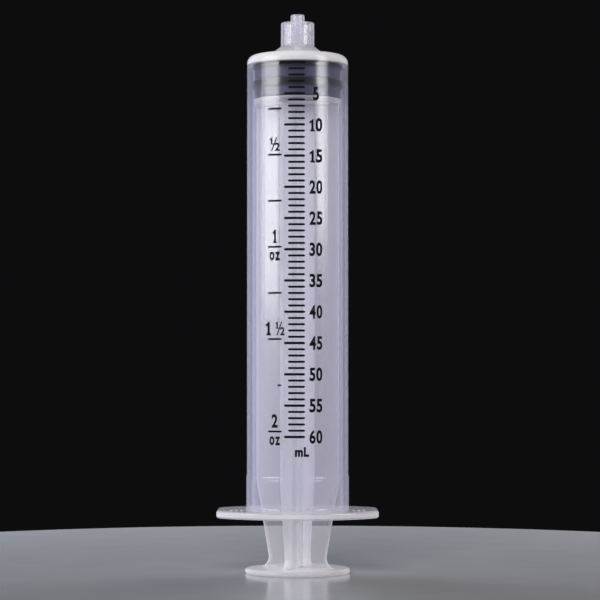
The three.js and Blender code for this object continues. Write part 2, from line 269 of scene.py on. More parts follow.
def skin(name, rings):
    """A closed surface over rings of (radii, height): one radius or one for each direction round.

    It runs from axis to axis where the first and last radius are 0, and otherwise closes on itself.
    """
    points, faces, starts = [], [], []
    for radii, z in rings:
        starts.append(len(points))
        if on_axis(radii):
            points.append((0, 0, z))
            continue
        radii = np.broadcast_to(radii, SEGMENTS)
        points.extend(zip(radii * np.cos(AROUND), radii * np.sin(AROUND), [z] * SEGMENTS))
    pairs = list(zip(range(len(rings)), range(1, len(rings))))
    if not on_axis(rings[0][0]):
        pairs.append((len(rings) - 1, 0))
    for low, high in pairs:
        a, b = starts[low], starts[high]
        for i in range(SEGMENTS):
            j = (i + 1) % SEGMENTS
            if on_axis(rings[low][0]):
                faces.append((a, b + j, b + i))
            elif on_axis(rings[high][0]):
                faces.append((a + i, a + j, b))
            else:
                faces.append((a + i, a + j, b + j, b + i))
    return mesh_object(name, points, faces)


def tube_faces(levels, ring):
    """Faces of a closed tube whose points come level by level, ring points to a level."""
    last = (levels - 1) * ring
    faces = [tuple(reversed(range(ring))), tuple(range(last, last + ring))]
    for low in range(0, last, ring):
        for k in range(ring):
            nxt = (k + 1) % ring
            faces.append((low + k, low + nxt, low + ring + nxt, low + ring + k))
    return faces


def mark(thing, name, value_at):
    """Stores value_at(x, y, z), in millimetres, at each vertex as an attribute for the material."""
    layer = thing.data.attributes.new(name, "FLOAT", "POINT")
    values = [value_at(*(c / MM for c in v.co)) for v in thing.data.vertices]
    layer.data.foreach_set("value", values)


def between(value, low, high):
    """0 at low, 1 at high, and a smooth step between them."""
    t = max(0.0, min(1.0, (value - low) / (high - low)))
    return t * t * (3 - 2 * t)


# ---- Barrel ----


def flange_radii(inset):
    """Distance from the axis to the flange's outline, drawn in by inset, in each direction round."""
    corner = FLANGE_CORNER_RADIUS
    x = FLANGE_HALF_LENGTH - corner
    y = FLANGE_END_HALF_WIDTH
    rise = FLANGE_HALF_DEPTH - corner
    back = (x**2 / (rise - y) - rise - y) / 2
    lean = math.atan2(y + back, x)
    small = np.linspace(0, lean, CORNER_SAMPLES)
    wide = np.linspace(lean, math.pi / 2, SIDE_SAMPLES)
    xs = [x + corner - inset, *(x + (corner - inset) * np.cos(small))]
    ys = [0, *(y + (corner - inset) * np.sin(small))]
    long_radius = FLANGE_HALF_DEPTH + back - inset
    xs.extend(long_radius * np.cos(wide))
    ys.extend(long_radius * np.sin(wide) - back)
    angles = np.arctan2(ys, xs)
    first_quarter = np.arctan2(np.abs(np.sin(AROUND)), np.abs(np.cos(AROUND)))
    places = np.interp(first_quarter, angles, np.arange(len(angles)))
    whole = np.minimum(places.astype(int), len(angles) - 2)
    share = places - whole
    at_x = np.array(xs)[whole] * (1 - share) + np.array(xs)[whole + 1] * share
    at_y = np.array(ys)[whole] * (1 - share) + np.array(ys)[whole + 1] * share
    return np.hypot(at_x, at_y)


def flange_rings():
    """From the mouth outward under the flange, round its rim and back in over its top."""
    edge = FLANGE_EDGE_RADIUS
    rings = []
    for step in range(ARC_STEPS + 1):
        turn = math.pi / 2 * step / ARC_STEPS
        inset = edge * (1 - math.sin(turn))
        rings.append((flange_radii(inset), FLANGE_Z + edge * (1 - math.cos(turn))))
    for step in range(ARC_STEPS + 1):
        turn = math.pi / 2 * step / ARC_STEPS
        inset = edge * (1 - math.cos(turn))
        rings.append((flange_radii(inset), FLANGE_TOP - edge * (1 - math.sin(turn))))
    return rings


def inside_end(r):
    """Height of the conical end's inner face at a distance from the axis."""
    return CROWN_TOP + END_GAP - r * END_SLOPE


MILKY_Z = inside_end(BORE_RADIUS) - 1.4  # above it, the end wall's milkiness shows
MILKY_TOP = MILKY_Z + 0.3  # where it is complete


def barrel_rings():
    """Up the outside from the flange, over collar and tip, and down the fluid path and the bore."""
    tip_foot = TIP_RADIUS + (TIP_TOP - SOCKET_Z) * TIP_TAPER
    outline = [
        (BAND_RADIUS + 2 * ROOT_FILLET, FLANGE_TOP, 0),
        (BAND_RADIUS, FLANGE_TOP, ROOT_FILLET),
        (BAND_RADIUS, BEAD_TOP, 0.25),
        (BARREL_RADIUS, BEAD_TOP + BAND_STEP, 0.25),
        (BARREL_RADIUS, MILKY_Z, 0),
        (BARREL_RADIUS, MILKY_TOP, 0),
        (BARREL_RADIUS, inside_end(BARREL_RADIUS) + END_WALL, CORNER_RADIUS),
        (NOSE_RADIUS, inside_end(NOSE_RADIUS) + END_WALL, 0.7),
        (COLLAR_RADIUS + COLLAR_DRAFT, COLLAR_FOOT, 0.5),
        (COLLAR_RADIUS, COLLAR_TOP, 0.4),
        (THREAD_ROOT, COLLAR_TOP, 0.25),
        (THREAD_ROOT, SOCKET_Z, 0.3),
        (tip_foot, SOCKET_Z, 0.3),
        (TIP_RADIUS, TIP_TOP, 0.35),
        (TIP_BORE, TIP_TOP, 0.15),
        (TIP_BORE, inside_end(TIP_BORE) + TIP_BORE, 0.3),
        (2 * TIP_BORE, inside_end(2 * TIP_BORE), 0.5),
        (BORE_RADIUS, inside_end(BORE_RADIUS), 0.8),
        (BORE_RADIUS, MILKY_TOP, 0),
        (BORE_RADIUS, MILKY_Z, 0),
        (BORE_RADIUS, BEAD_TOP, 0.4),
        (BEAD_RADIUS, BEAD_CREST, 0.4),
        (MOUTH_RADIUS, BEAD_FOOT, 0.4),
        (MOUTH_RADIUS, FLANGE_Z, 0.5),
        (MOUTH_RADIUS + MOUTH_FACE, FLANGE_Z, 0),
    ]
    return rounded(outline)


def grip_rib(x):
    """A low half-round rib across a wing, with rounded ends, its lower half sunk in the flange."""
    points = []
    for i in range(RIB_LEVELS + 1):
        y = -math.cos(math.pi * i / RIB_LEVELS) * GRIP_HALF_LENGTH
        inner = max(0.0, abs(y) - (GRIP_HALF_LENGTH - GRIP_HALF_WIDTH))
        width = math.sqrt(max(GRIP_HALF_WIDTH**2 - inner**2, GRIP_TIP**2))
        height = (GRIP_HEIGHT + GRIP_SINK) * width / GRIP_HALF_WIDTH
        for j in range(RIB_SEGMENTS):
            turn = 2 * math.pi * j / RIB_SEGMENTS
            z = FLANGE_TOP - GRIP_SINK + height * math.sin(turn)
            points.append((x + width * math.cos(turn), y, z))
    return mesh_object("grip_rib", points, tube_faces(RIB_LEVELS + 1, RIB_SEGMENTS))


def thread_ridge(start):
    """One start of the right-hand thread inside the collar, sinking into the wall at both ends."""
    height = THREAD_TURNS * THREAD_LEAD
    low = (SOCKET_Z + COLLAR_TOP - height) / 2
    depth = THREAD_ROOT - THREAD_CREST
    section = [
        (THREAD_BITE, -THREAD_BITE_HALF),
        (-depth, -THREAD_CREST_HALF),
        (-depth, THREAD_CREST_HALF),
        (THREAD_BITE, THREAD_BITE_HALF),
    ]
    points = []
    for i in range(THREAD_STEPS + 1):
        share = i / THREAD_STEPS
        rise = min(1.0, min(share, 1 - share) / THREAD_FADE - THREAD_START)
        turn = 2 * math.pi * (share * THREAD_TURNS + start / THREAD_STARTS)
        for out, offset in section:
            r = THREAD_ROOT + (out if out > 0 else out * rise)
            points.append((r * math.cos(turn), r * math.sin(turn), low + share * height + offset))
    return mesh_object("thread_ridge", points, tube_faces(THREAD_STEPS + 1, len(section)))


# How much of the light the barrel's plastic stops, from 0 to 1.
WALL_HAZE = 0.04
LOWER_WALL_HAZE = 0.05  # added at the flange, and gone at LOWER_WALL_TOP
LOWER_WALL_TOP = 45.0
FLANGE_HAZE = 0.25
FLANGE_RIM_HAZE = 0.55  # added half way up the flange's rim
FLANGE_HAZE_RADII = (14.0, 15.5)  # where the flange's haze starts and where it is complete
END_HAZE = 0.80
NOSE_CLEARING = 0.50  # taken off above the cone's foot
COLLAR_CLEARING = 0.12  # and taken off as well above the collar's foot


def barrel_haze(x, y, z):
    """How much of the light a surface of the barrel stops: more where the plastic is thicker."""
    wall = WALL_HAZE + LOWER_WALL_HAZE * (1 - between(z, FLANGE_TOP, LOWER_WALL_TOP))
    rim = 1 - between(abs(z - (FLANGE_Z + FLANGE_TOP) / 2), 0.3, 1.0)
    on_flange = 1 - between(z, FLANGE_TOP, FLANGE_TOP + ROOT_FILLET)
    outside = between(math.hypot(x, y), *FLANGE_HAZE_RADII)
    flange = (FLANGE_HAZE + FLANGE_RIM_HAZE * rim) * on_flange * outside
    end = END_HAZE * between(z, MILKY_Z, MILKY_TOP)
    cone_foot = inside_end(NOSE_RADIUS) + END_WALL
    nose = NOSE_CLEARING * between(z, cone_foot - 0.1, cone_foot + 0.3)
    collar = COLLAR_CLEARING * between(z, COLLAR_FOOT - 0.4, COLLAR_FOOT)
    return wall + flange + end - nose - collar


def make_barrel():
    ribs = [
        grip_rib(side * (GRIP_FIRST + i * GRIP_PITCH))
        for side in (1, -1)
        for i in range(GRIP_RIBS)
    ]
    threads = [thread_ridge(start) for start in range(THREAD_STARTS)]
    body = skin("barrel_body", flange_rings() + barrel_rings())
    barrel = joined("barrel_shell", body, ribs + threads)
    mark(barrel, "haze", barrel_haze)
    return smooth(barrel)


# ---- Stopper ----


def make_stopper():
    lower_top = LOWER_RIB_Z + LOWER_RIB_HEIGHT
    upper_foot = UPPER_RIB_TOP - RIB_HEIGHT
    crown_edge = UPPER_RIB_TOP + CROWN_CHAMFER
    cavity_top = crown_edge - CROWN_THICKNESS
    outline = [
        (0, cavity_top, 0),
        (CAVITY_RADIUS - HEAD_CHAMFER, cavity_top, 0.4),
        (CAVITY_RADIUS, cavity_top - HEAD_CHAMFER, 0.4),
        (CAVITY_RADIUS, STOPPER_Z + LIP_HEIGHT, 0.2),
        (LIP_RADIUS, STOPPER_Z + LIP_HEIGHT, 0.25),
        (LIP_RADIUS, STOPPER_Z, 0.4),
        (GROOVE_RADIUS, STOPPER_Z, 0.5),
        (GROOVE_RADIUS, LOWER_RIB_Z - RIB_SLOPE, 0.35),
        (SEAL_RADIUS, LOWER_RIB_Z, 0.35),
        (SEAL_RADIUS, lower_top, 0.35),
        (GROOVE_RADIUS, lower_top + RIB_SLOPE, 0.35),
        (GROOVE_RADIUS, upper_foot - RIB_SLOPE, 0.35),
        (SEAL_RADIUS, upper_foot, 0.3),
        (SEAL_RADIUS, UPPER_RIB_TOP, 0.3),
        (SEAL_RADIUS - CROWN_CHAMFER, crown_edge, 0.5),
        (0, CROWN_TOP, 0),
    ]
    stopper = skin("stopper_skin", rounded(outline))
    # the ribs' contact with the bore: the rubber is glossier there, and painted shade makes it near-black
    mark(stopper, "contact_shade", lambda x, y, z: between(math.hypot(x, y), GROOVE_RADIUS, SEAL_RADIUS))
    return smooth(stopper)


# ---- Plunger rod ----


def fin_reach(z):
    """How far the fins stand out from the axis at a height: flare, waist, taper and full width."""
    if z < WAIST_Z:
        flare = WAIST_RADIUS + FLARE_RADIUS
        return flare - math.sqrt(max(FLARE_RADIUS**2 - (WAIST_Z - z) ** 2, 0))
    return min(FIN_RADIUS, WAIST_RADIUS + (FIN_RADIUS - WAIST_RADIUS) * (z - WAIST_Z) / TAPER_LENGTH)


def fillet_at(distance):
    """How much a fillet thickens the fins at a distance from the face that they stand on."""
    if distance >= FIN_FILLET:
        return 0.0
    return FIN_FILLET - math.sqrt(FIN_FILLET**2 - (FIN_FILLET - max(distance, 0)) ** 2)


def fin_section(reach, extra):
    """One fin's outline, from its lower flank over its edge to its upper, and the fillet to the next."""
    start = FIN_ROOT + ROOT_RADIUS
    slope = (FIN_EDGE - FIN_ROOT) / (FIN_RADIUS - start)
    end = FIN_EDGE + slope * (reach - FIN_RADIUS) + extra
    corner = FIN_CORNER
    flank = [start, *(reach - corner - back for back in FLANK_POINTS)]
    upper = [(r, FIN_ROOT + slope * (r - start) + extra) for r in flank]
    for step in range(1, EDGE_STEPS + 1):
        turn = math.pi / 2 * (1 - step / EDGE_STEPS)
        upper.append((reach - corner + corner * math.cos(turn), end - corner + corner * math.sin(turn)))
    lower = [(r, -h) for r, h in upper]
    fillet = []
    for step in range(1, ROOT_STEPS):
        turn = math.pi / 2 * step / ROOT_STEPS
        along, across = ROOT_RADIUS * math.sin(turn), ROOT_RADIUS * math.cos(turn)
        fillet.append((start - along + extra, start - across + extra))
    return [*lower, *reversed(upper), *fillet]


def section_points(reach, extra, z):
    """One level of the rod: the four fins' outlines in order round the axis."""
    outline = fin_section(reach, extra)
    points = []
    for fin in range(4):
        angle = ROD_TURN + fin * math.pi / 2
        c, s = math.cos(angle), math.sin(angle)
        points.extend((a * c - b * s, a * s + b * c, z) for a, b in outline)
    return points


def fins():
    """The cross of four fins, from inside the thumb rest to inside the disc under the stopper."""
    disc_foot = SEAT_Z - DISC_THICKNESS
    turns = [math.pi / 2 * i / FLARE_STEPS for i in range(FLARE_STEPS + 1)]
    flare = [THUMB_THICKNESS + FLARE_RADIUS * (1 - math.cos(turn)) for turn in turns]
    taper = [WAIST_Z + TAPER_LENGTH * i / TAPER_STEPS for i in range(1, TAPER_STEPS + 1)]
    shaft_foot = taper[-1]
    shaft_length = disc_foot - 2 * FIN_FILLET - shaft_foot
    shaft = [shaft_foot + shaft_length * i / SHAFT_STEPS for i in range(1, SHAFT_STEPS + 1)]
    top = [disc_foot - FIN_FILLET * (1 - i / FILLET_STEPS) for i in range(FILLET_STEPS + 1)]
    heights = [THUMB_THICKNESS / 2, *flare, *taper, *shaft, *top, disc_foot + DISC_THICKNESS / 2]
    levels = []
    for z in heights:
        extra = max(fillet_at(z - THUMB_THICKNESS), fillet_at(disc_foot - z))
        reach = min(fin_reach(max(z, THUMB_THICKNESS)), FIN_RADIUS)
        levels.append(section_points(reach, extra, z))
    points = [p for level in levels for p in level]
    return mesh_object("fins", points, tube_faces(len(levels), len(levels[0])))


def make_rod():
    thumb = skin(
        "thumb_rest",
        rounded([
            (0, 0, 0),
            (THUMB_RADIUS, 0, 0.7),
            (THUMB_RADIUS, THUMB_THICKNESS, 0.7),
            (0, THUMB_THICKNESS, 0),
        ]),
    )
    neck = LIP_RADIUS - RUNNING_GAP
    head = CAVITY_RADIUS - RUNNING_GAP
    neck_top = STOPPER_Z + LIP_HEIGHT + RUNNING_GAP
    seat = skin(
        "seat",
        rounded([
            (0, SEAT_Z - DISC_THICKNESS, 0),
            (FIN_RADIUS, SEAT_Z - DISC_THICKNESS, 0.3),
            (FIN_RADIUS, SEAT_Z, 0.3),
            (neck, SEAT_Z, 0.1),
            (neck, neck_top, 0.1),
            (head, neck_top, 0.3),
            (head, HEAD_TOP - HEAD_CHAMFER, 0.4),
            (head - HEAD_CHAMFER, HEAD_TOP, 0.4),
            (0, HEAD_TOP, 0),
        ]),
    )
    rod = joined("rod_shell", fins(), [thumb, seat])
    mark(rod, "haze", rod_haze)
    return smooth(rod)


# How much of the light the rod's plastic stops. The highest of these counts at each point.
FIN_HAZE = 0.18
FIN_HAZE_ABOVE = 0.12  # added inside the barrel, where the light comes through its wall too
FIN_HAZE_HEIGHTS = (12.0, 24.0)  # where it starts and where it is complete
FIN_EDGE_HAZE = 0.40
FIN_ROOT_HAZE = 0.42
DISC_HAZE = 0.38


def rod_haze(x, y, z):
    """How solid the rod looks: thin fins let light through, and their outer edges show milkier."""
    r = math.hypot(x, y)
    thumb = 1 - between(z, THUMB_THICKNESS, THUMB_THICKNESS + 0.5)
    disc = between(z, SEAT_Z - DISC_THICKNESS - 0.5, SEAT_Z - DISC_THICKNESS)
    reach = fin_reach(max(z, THUMB_THICKNESS))
    edge = between(r, reach - 1.0, reach - 0.3)
    root = 1 - between(r, 1.2, 3.2)
    fin = FIN_HAZE + FIN_HAZE_ABOVE * between(z, *FIN_HAZE_HEIGHTS)
    return max(fin, FIN_EDGE_HAZE * edge, FIN_ROOT_HAZE * root, DISC_HAZE * max(thumb, disc))


# ---- Printed scale ----

# Places round the barrel are azimuths in degrees from the front, positive to the viewer's right.

INK_SINK = 0.01
INK_HEIGHT = 0.025
ML_LENGTH = 1000 / (math.pi * BORE_RADIUS**2)
ZERO_Z = UPPER_RIB_TOP - 0.77  # the first graduation, on the stopper's upper rib
ML_PER_OUNCE = 29.5735

# Graduations, as (left azimuth, right azimuth, thickness in millimetres).
ZERO_MARK = (-20.6, 9.6, 0.75)
LONG_MARK = (-15.2, 8.3, 0.72)
SHORT_MARK = (-10.6, 8.3, 0.63)
OUNCE_MARK = (-34.9, -17.9, 0.54)
STUB_MARK = (-23.0, -18.3, 0.54)
STUB_QUARTER = 7  # the quarter of an ounce that is only a stub
MARK_COLUMN = 1.2  # degrees between a graduation's points

TEXT_HEIGHT = 3.95
DIGIT_WIDTH = 1.85
DIGIT_GAP = 0.28
NUMBER_CENTRE = 21.0
OUNCE_CENTRE = -26.4
OUNCE_NUMBER_RISE = 3.05  # of a number's middle over its mark
OUNCE_UNIT = ("oz", 2.6, 3.45)  # text, height and width
OUNCE_UNIT_DROP = 2.65
OUNCE_NUMBERS = ((1, "½", 3.3), (2, "1", 1.35), (3, "1 ½", 6.2), (4, "2", 1.95))  # half ounces, text, width
MILLILITRE_UNIT = ("mL", 2.8, 4.1)
MILLILITRE_UNIT_CENTRE = 5.0
MILLILITRE_UNIT_DROP = 4.3
STRIP_WIDTH = 0.4  # of the strips that a label is cut into, so that it can be bent

# Shapes of the lettering, in ems.
CAP = 0.69  # height of a figure
WEIGHT = 0.034  # how far each stroke is thickened on either side
HEAVY_WEIGHT = 1.6 * WEIGHT
LETTER_GAP = 0.07
WORD_GAP = 0.22
ONE_STEM = 0.09  # width of the figure 1's stem before it is thickened
ONE_SERIF = 0.08  # how far its foot stands out on either side
ONE_FOOT = 0.07  # how high the foot is
ONE_FLAG = 0.10  # how far its flag reaches to the left


def on_barrel(azimuth, r, z):
    """A point by its azimuth, its distance from the axis and its height."""
    a = math.radians(azimuth)
    return (r * math.sin(a), -r * math.cos(a), z)


def tick(left, right, thickness, z):
    """Points and faces of one graduation: a thin curved bar with rounded ends."""
    columns = max(6, round((right - left) / MARK_COLUMN))
    end = math.degrees(thickness / 2 / BARREL_RADIUS)
    inner, outer = BARREL_RADIUS - INK_SINK, BARREL_RADIUS + INK_HEIGHT
    ends = [0.0, 0.12, 0.45, 1.0]  # where points lie along a rounded end, as shares of it
    angles = [left + end * e for e in ends]
    angles += [left + end + (right - left - 2 * end) * i / columns for i in range(1, columns)]
    angles += [right - end * e for e in reversed(ends)]
    points = []
    for angle in angles:
        inset = max(0.0, 1 - min(angle - left, right - angle) / end)
        half = thickness / 2 * math.sqrt(max(1 - inset**2, 0.05))
        for r, height in ((inner, z - half), (outer, z - half), (outer, z + half), (inner, z + half)):
            points.append(on_barrel(angle, r, height))
    return points, tube_faces(len(angles), 4)


def bars(name, marks):
    """All of a scale's graduations as one object; marks are tick's arguments."""
    points, faces = [], []
    for mark_sizes in marks:
        new_points, new_faces = tick(*mark_sizes)
        faces += [tuple(len(points) + v for v in face) for face in new_faces]
        points += new_points
    return mesh_object(name, points, faces)


def millilitre_marks():
    marks = [(*ZERO_MARK, ZERO_Z)]
    for ml in range(1, CAPACITY_ML + 1):
        marks.append((*(SHORT_MARK if ml % 5 else LONG_MARK), ZERO_Z - ml * ML_LENGTH))
    return marks


def ounce_marks():
    marks = []
    for quarter in range(1, 9):
        z = ZERO_Z - quarter / 4 * ML_PER_OUNCE * ML_LENGTH
        marks.append((*(STUB_MARK if quarter == STUB_QUARTER else OUNCE_MARK), z))
    return marks


def font_glyph(char, weight):
    """One character of the built-in font as a flat bmesh, in ems, with its strokes thickened."""
    curve = bpy.data.curves.new("glyph", "FONT")
    curve.body = char
    curve.offset = weight
    curve.resolution_u = 5
    flat = linked("glyph", curve)
    graph = bpy.context.evaluated_depsgraph_get()
    mesh = bpy.data.meshes.new_from_object(flat.evaluated_get(graph))
    bpy.data.objects.remove(flat)
    glyph = bmesh.new()
    glyph.from_mesh(mesh)
    bpy.data.meshes.remove(mesh)
    bmesh.ops.remove_doubles(glyph, verts=glyph.verts, dist=1e-4)
    return glyph


def outline_glyph(corners):
    glyph = bmesh.new()
    glyph.faces.new([glyph.verts.new((x, y, 0)) for x, y in corners])
    return glyph


def figure_one(weight):
    """A numeral 1 with a flag, which the built-in font's lacks."""
    left = ONE_FLAG + weight
    stem = ONE_STEM + 2 * weight
    right = left + stem
    foot = ONE_FOOT + weight
    flag = CAP - 0.13
    return outline_glyph([
        (left - ONE_SERIF, 0), (right + ONE_SERIF, 0), (right + ONE_SERIF, foot),
        (right, foot), (right, CAP), (left + 0.35 * stem, CAP),
        (left, CAP - 0.075), (0, flag), (0, flag - stem * 0.8), (left, CAP - 0.20),
        (left, foot), (left - ONE_SERIF, foot),
    ])


def fraction_bar():
    lean, bar = 0.30, 0.07
    return outline_glyph([(0, 0), (bar, 0), (lean + bar, CAP), (lean, CAP)])


def put(glyph, scale, x, y):
    """Scales a glyph and moves its lower left corner to x, y; returns its right edge."""
    left = min(v.co.x for v in glyph.verts)
    low = min(v.co.y for v in glyph.verts)
    for v in glyph.verts:
        v.co = Vector(((v.co.x - left) * scale + x, (v.co.y - low) * scale + y, 0))
    return max(v.co.x for v in glyph.verts)


def absorb(target, glyph):
    """Adds glyph's faces to the bmesh target."""
    mesh = bpy.data.meshes.new("glyph")
    glyph.to_mesh(mesh)
    glyph.free()
    target.from_mesh(mesh)
    bpy.data.meshes.remove(mesh)


def flat_text(text, weight):
    """A line of text as a flat bmesh. Each part of a character is (glyph, scale, x, y), in ems."""
    line = bmesh.new()
    cursor = 0.0
    for char in text:
        if char == " ":
            cursor += WORD_GAP
            continue
        if char == "½":
            parts = [
                (figure_one(weight), 0.52, 0.0, 0.48 * CAP),
                (fraction_bar(), 1.0, 0.06, 0.0),
                (font_glyph("2", weight), 0.55, 0.29, 0.0),
            ]
        elif char == "1":
            parts = [(figure_one(weight), 1.0, 0.0, 0.0)]
        else:
            parts = [(font_glyph(char, weight), 1.0, 0.0, 0.0)]
        edges = []  # the parts' right edges
        for glyph, scale, x, y in parts:
            edges.append(put(glyph, scale, cursor + x, y))
            absorb(line, glyph)
        cursor = max(edges) + LETTER_GAP
    return line


def cut_in_strips(flat, width):
    """Cuts a flat bmesh along vertical lines, so that it can be bent."""
    left = min(v.co.x for v in flat.verts)
    right = max(v.co.x for v in flat.verts)
    for i in range(math.ceil(left / width), math.floor(right / width) + 1):
        parts = [*flat.verts, *flat.edges, *flat.faces]
        bmesh.ops.bisect_plane(flat, geom=parts, plane_co=(i * width, 0, 0), plane_no=(1, 0, 0))


def drop_slivers(flat):
    """Merges points that nearly touch; where three faces share an edge, the smallest goes."""
    bmesh.ops.remove_doubles(flat, verts=flat.verts, dist=0.004)
    bmesh.ops.dissolve_degenerate(flat, edges=flat.edges, dist=0.002)
    crowded = True
    while crowded:
        crowded = [edge for edge in flat.edges if len(edge.link_faces) > 2]
        slivers = {min(edge.link_faces, key=lambda face: face.calc_area()) for edge in crowded}
        bmesh.ops.delete(flat, geom=list(slivers), context="FACES")


def lettering(text, height, width, azimuth, z, weight=WEIGHT):
    """One label as a thin solid wrapped on the barrel, centred on an azimuth and a height."""
    line = flat_text(text, weight)
    low = [min(v.co[k] for v in line.verts) for k in range(2)]
    high = [max(v.co[k] for v in line.verts) for k in range(2)]
    for v in line.verts:
        v.co.x = ((v.co.x - low[0]) / (high[0] - low[0]) - 0.5) * width
        v.co.y = ((v.co.y - low[1]) / (high[1] - low[1]) - 0.5) * height
    cut_in_strips(line, STRIP_WIDTH)
    drop_slivers(line)
    bmesh.ops.recalc_face_normals(line, faces=line.faces)
    solid = bmesh.ops.extrude_face_region(line, geom=line.faces[:])
    top = {item for item in solid["geom"] if isinstance(item, bmesh.types.BMVert)}
    for v in line.verts:
        angle = azimuth + math.degrees(v.co.x / BARREL_RADIUS)
        r = BARREL_RADIUS + (INK_HEIGHT if v in top else -INK_SINK)
        v.co = Vector(on_barrel(angle, r, z + v.co.y)) * MM
    bmesh.ops.recalc_face_normals(line, faces=line.faces)
    mesh = bpy.data.meshes.new("lettering")
    line.to_mesh(mesh)
    line.free()
    return mesh


def labels(name, texts):
    """Several labels as one object; texts are lettering's arguments."""
    bm = bmesh.new()
    for text in texts:
        mesh = lettering(*text)
        bm.from_mesh(mesh)
        bpy.data.meshes.remove(mesh)
    mesh = bpy.data.meshes.new(name)
    bm.to_mesh(mesh)
    bm.free()
    return linked(name, mesh)


def millilitre_labels():
    texts = []
    for ml in range(5, CAPACITY_ML + 1, 5):
        digits = len(str(ml))
        width = digits * DIGIT_WIDTH + (digits - 1) * DIGIT_GAP
        texts.append((str(ml), TEXT_HEIGHT, width, NUMBER_CENTRE, ZERO_Z - ml * ML_LENGTH))
    unit_z = ZERO_Z - CAPACITY_ML * ML_LENGTH - MILLILITRE_UNIT_DROP
    texts.append((*MILLILITRE_UNIT, MILLILITRE_UNIT_CENTRE, unit_z, HEAVY_WEIGHT))
    return texts


def ounce_labels():
    texts = []
    for half, text, width in OUNCE_NUMBERS:
        z = ZERO_Z - half / 2 * ML_PER_OUNCE * ML_LENGTH
        texts.append((text, TEXT_HEIGHT, width, OUNCE_CENTRE, z + OUNCE_NUMBER_RISE))
        if half % 2 == 0:
            texts.append((*OUNCE_UNIT, OUNCE_CENTRE, z - OUNCE_UNIT_DROP))
    return texts


# ---- Materials ----


class Graph:
    """A material's nodes, added and linked in few words."""

    def __init__(self, name):
        self.material = bpy.data.materials.new(name)
        self.material.use_nodes = True
        self.nodes = self.material.node_tree.nodes
        self.links = self.material.node_tree.links
        self.nodes.clear()
        self.place = self.nodes.new("ShaderNodeTexCoord").outputs["Object"]

    def add(self, kind, inputs, **values):
        """A node with its properties set. Each input is a value, or a socket to link from."""
        node = self.nodes.new(kind)
        for key, value in values.items():
            setattr(node, key, value)
        for key, value in inputs.items():
            if isinstance(value, bpy.types.NodeSocket):
                self.links.new(value, node.inputs[key])
            else:
                node.inputs[key].default_value = value
        return node

    def noise(self, scale, detail, roughness=0.5, at=None):
        """Noise from 0 to 1, at the object's own coordinates unless others are given."""
        inputs = {"Vector": at or self.place, "Scale": scale, "Detail": detail, "Roughness": roughness}
        return self.add("ShaderNodeTexNoise", inputs).outputs["Fac"]

    def attribute(self, name):
        return self.add("ShaderNodeAttribute", {}, attribute_name=name).outputs["Fac"]

    def remap(self, value, low, high, start=0.0, end=1.0):
        """value from start to end becomes low to high, and stays within them."""
        inputs = {"Value": value, "From Min": start, "From Max": end, "To Min": low, "To Max": high}
        return self.add("ShaderNodeMapRange", inputs).outputs["Result"]

    def maths(self, operation, a, b, clamp=False):
        """clamp keeps the result between 0 and 1."""
        node = self.add("ShaderNodeMath", {0: a, 1: b}, operation=operation, use_clamp=clamp)
        return node.outputs[0]

    def mix_colours(self, share, a, b):
        """Colour a where share is 0 and b where it is 1."""
        node = self.add("ShaderNodeMix", {}, data_type="RGBA")
        self.links.new(share, node.inputs["Factor"])
        for socket, colour in ((node.inputs[6], a), (node.inputs[7], b)):
            if isinstance(colour, tuple):
                socket.default_value = (*colour, 1)
            else:
                self.links.new(colour, socket)
        return node.outputs[2]

    def mix_shaders(self, share, a, b):
        """Shader a where share is 0 and b where it is 1."""
        return self.add("ShaderNodeMixShader", {"Fac": share, 1: a.outputs[0], 2: b.outputs[0]})

    def bump(self, height, strength, distance, over=None):
        """A bumped normal, which may build on another."""
        inputs = {"Height": height, "Strength": strength, "Distance": distance}
        if over:
            inputs["Normal"] = over
        return self.add("ShaderNodeBump", inputs).outputs["Normal"]

    def finish(self, shader):
        """The material, with shader as its surface."""
        self.add("ShaderNodeOutputMaterial", {"Surface": shader.outputs[0]})
        return self.material


def plastic(name, deep, pale, thick, roughness, bump, glow, rim):
    """Milky translucent polypropylene: cloudy body, clear gaps set by the haze attribute, and gloss.

    deep and pale are the cloud's colours, thick its colour where the haze is strong. glow is the
    share of light that comes through from behind, and rim how much cloudier a grazing view looks.
    """
    graph = Graph(name)
    stretch = {"Vector": graph.place, "Scale": (1.0, 1.0, 0.12)}
    along = graph.add("ShaderNodeMapping", stretch, vector_type="POINT").outputs["Vector"]
    flow = graph.noise(260.0, 2.0, 0.45, at=along)
    grain = graph.noise(2600.0, 2.0)
    haze = graph.attribute("haze")
    cloud_colour = graph.mix_colours(flow, deep, pale)
    colour = graph.mix_colours(graph.remap(haze, 0.0, 1.0, 0.05, 0.25), cloud_colour, thick)

    inputs = {"Base Color": colour, "Roughness": 0.5, "IOR": 1.49, "Specular IOR Level": 0.0}
    body = graph.add("ShaderNodeBsdfPrincipled", inputs)
    through = graph.add("ShaderNodeBsdfTranslucent", {"Color": colour})
    cloudy = graph.mix_shaders(graph.remap(haze, glow, glow * 0.1), body, through)

    facing = graph.add("ShaderNodeLayerWeight", {"Blend": 0.5}).outputs["Facing"]
    grazing = graph.maths("MULTIPLY", graph.maths("POWER", facing, 2.0), rim)
    cloud = graph.maths("MULTIPLY", haze, graph.remap(flow, 0.93, 1.07))
    density = graph.maths("ADD", cloud, grazing, clamp=True)
    clear = graph.add("ShaderNodeBsdfTransparent", {"Color": (0.97, 0.97, 0.99, 1)})
    milky = graph.mix_shaders(density, clear, cloudy)

    surface = graph.bump(grain, bump * 0.4, 0.00003, over=graph.bump(flow, bump, 0.0001))
    gloss = graph.remap(flow, roughness * 0.75, roughness * 1.3)
    inputs = {"Color": (1, 1, 1, 1), "Roughness": gloss, "Normal": surface}
    shine = graph.add("ShaderNodeBsdfGlossy", inputs)
    mirror = graph.remap(graph.maths("POWER", facing, 5.0), 0.04, 0.8)
    return graph.finish(graph.mix_shaders(mirror, milky, shine))


